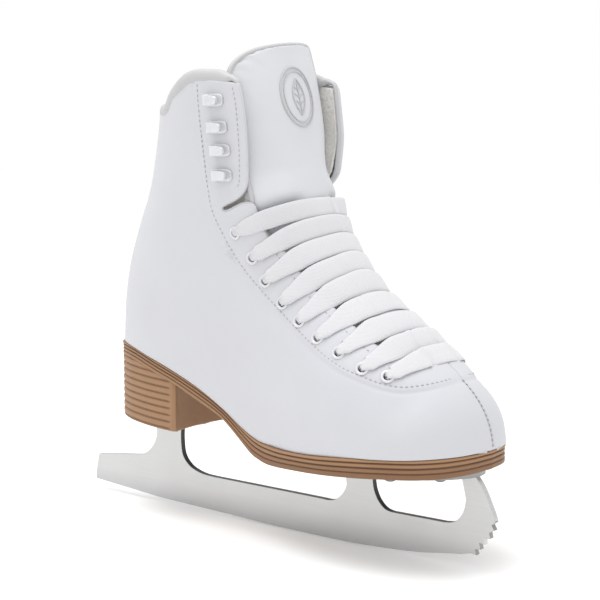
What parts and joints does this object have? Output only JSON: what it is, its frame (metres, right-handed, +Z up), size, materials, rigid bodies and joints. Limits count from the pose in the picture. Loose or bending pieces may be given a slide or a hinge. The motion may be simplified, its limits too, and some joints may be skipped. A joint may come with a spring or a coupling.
{
  "type": "ice skate",
  "caption": "Laced figure skate: white leather ankle boot with tongue and hooks, stacked tan heel and sole, and a steel figure blade with toe picks.",
  "frame": {"origin": "on the ice plane, under the middle of the skate's length and width", "axes": "+X to the toe, +Y to the wearer's left, +Z up from the ice"},
  "size_m": [0.2896, 0.0934, 0.2676],
  "materials": {
    "white_leather": "smooth, soft sheen",
    "lining_fleece": "short brushed pile",
    "stiffener": "matt board",
    "sole": "matt, moulded layers",
    "heel_stack": "matt, grooved layers",
    "blade_steel": "satin, mirror at the edge",
    "plate_steel": "satin",
    "white_metal": "white lacquer",
    "lace_cotton": "flat woven braid"
  },
  "bodies": {
    "boot": {"blade": "blade_steel", "sole_plate": "plate_steel", "heel_plate": "plate_steel", "sole_screw_rear_right": "plate_steel", "sole_screw_rear_left": "plate_steel", "sole_screw_front_right": "plate_steel", "sole_screw_front_left": "plate_steel", "heel_screw_right": "plate_steel", "heel_screw_left": "plate_steel", "heel_screw_front": "plate_steel", "outsole": "sole", "heel": "heel_stack", "heel_counter": "stiffener", "toe_puff": "stiffener", "insole_board": "stiffener", "footbed": "lining_fleece", "tongue_lower": "white_leather", "tongue_pad_lower": "lining_fleece", "lace": "lace_cotton", "upper_right": "white_leather", "eyelet_stay_right": "stiffener", "lining_right": "lining_fleece", "collar_pad_right": "white_leather", "hook_right_4": "white_metal", "eyelet_right_1": "white_metal", "eyelet_right_2": "white_metal", "eyelet_right_3": "white_metal", "eyelet_right_4": "white_metal", "eyelet_right_5": "white_metal", "eyelet_right_6": "white_metal", "eyelet_right_7": "white_metal", "eyelet_right_8": "white_metal", "eyelet_right_9": "white_metal", "upper_left": "white_leather", "eyelet_stay_left": "stiffener", "lining_left": "lining_fleece", "collar_pad_left": "white_leather", "hook_left_4": "white_metal", "eyelet_left_1": "white_metal", "eyelet_left_2": "white_metal", "eyelet_left_3": "white_metal", "eyelet_left_4": "white_metal", "eyelet_left_5": "white_metal", "eyelet_left_6": "white_metal", "eyelet_left_7": "white_metal", "eyelet_left_8": "white_metal", "eyelet_left_9": "white_metal"},
    "tongue_top": {"tongue_upper": "white_leather", "tongue_pad_upper": "lining_fleece"},
    "cuff_right": {"cuff_flap_right": "white_leather", "cuff_lining_right": "lining_fleece", "hook_right_1": "white_metal", "hook_right_2": "white_metal", "hook_right_3": "white_metal"},
    "cuff_left": {"cuff_flap_left": "white_leather", "cuff_lining_left": "lining_fleece", "hook_left_1": "white_metal", "hook_left_2": "white_metal", "hook_left_3": "white_metal"}
  },
  "joints": [
    {"name": "tongue_fold", "type": "hinge", "parent": "boot", "child": "tongue_top", "pos_m": [0.0327, 0, 0.1863], "axis": [0, 1, 0], "range_deg": [0, 50], "stiffness_Nm_per_rad": 0.06},
    {"name": "cuff_right_open", "type": "hinge", "parent": "boot", "child": "cuff_right", "pos_m": [-0.0155, -0.0425, 0.2134], "axis": [0.8089, 0, -0.5879], "range_deg": [0, 18], "stiffness_Nm_per_rad": 0.2},
    {"name": "cuff_left_open", "type": "hinge", "parent": "boot", "child": "cuff_left", "pos_m": [-0.0155, 0.0425, 0.2134], "axis": [-0.8089, 0, 0.5879], "range_deg": [0, 18], "stiffness_Nm_per_rad": 0.2}
  ]
}
